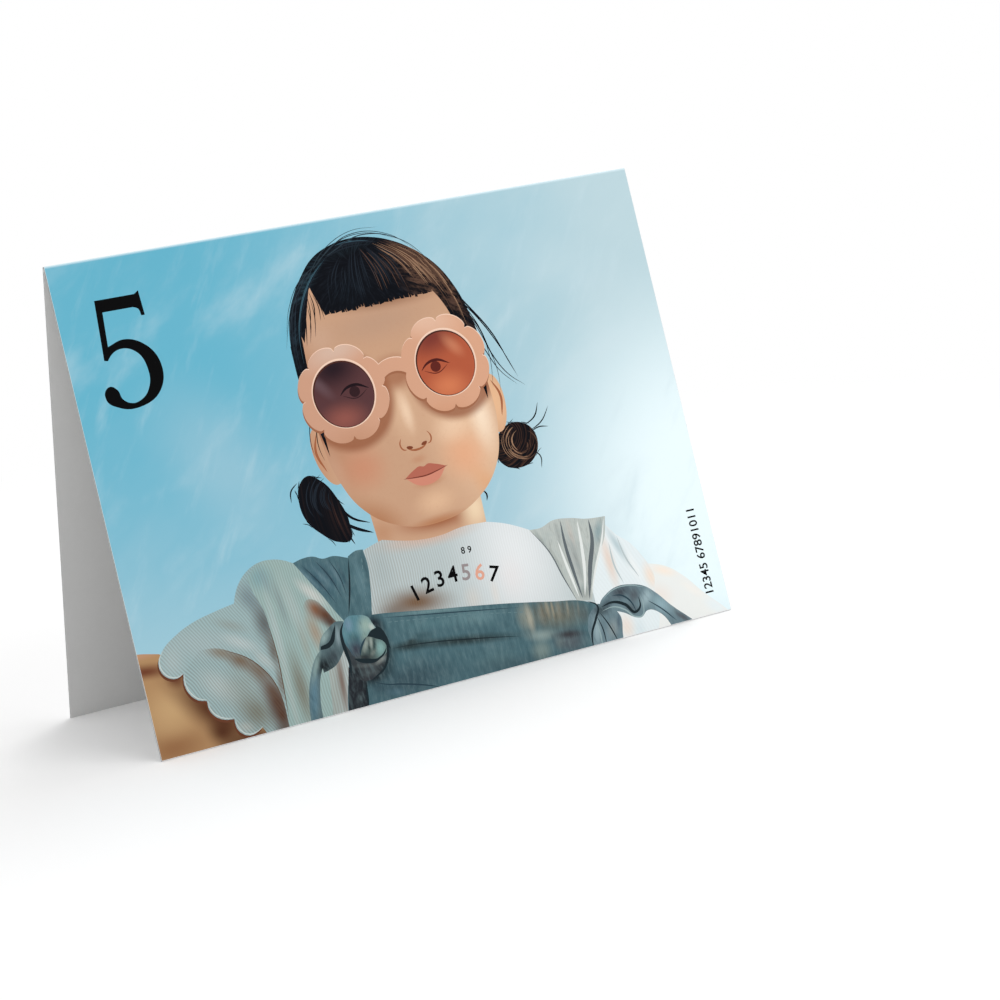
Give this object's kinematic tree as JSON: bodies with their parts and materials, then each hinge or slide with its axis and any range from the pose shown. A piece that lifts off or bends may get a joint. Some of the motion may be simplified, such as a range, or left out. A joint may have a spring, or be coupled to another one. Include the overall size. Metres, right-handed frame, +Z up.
{
  "type": "greeting card",
  "caption": "Landscape greeting card of printed board, folded once along its top edge, that stands open like a tent on its free edges.",
  "frame": {"origin": "on the floor, midway between the free edges and midway along the fold", "axes": "+X along the fold, to the right as the front panel is read; +Y from the front panel to the back panel; +Z up"},
  "size_m": [0.178, 0.0628, 0.1262],
  "materials": {
    "printed_board": "white folding board, coated and printed outside, uncoated inside"
  },
  "bodies": {
    "root": {"folded_card": "printed_board"}
  },
  "joints": []
}
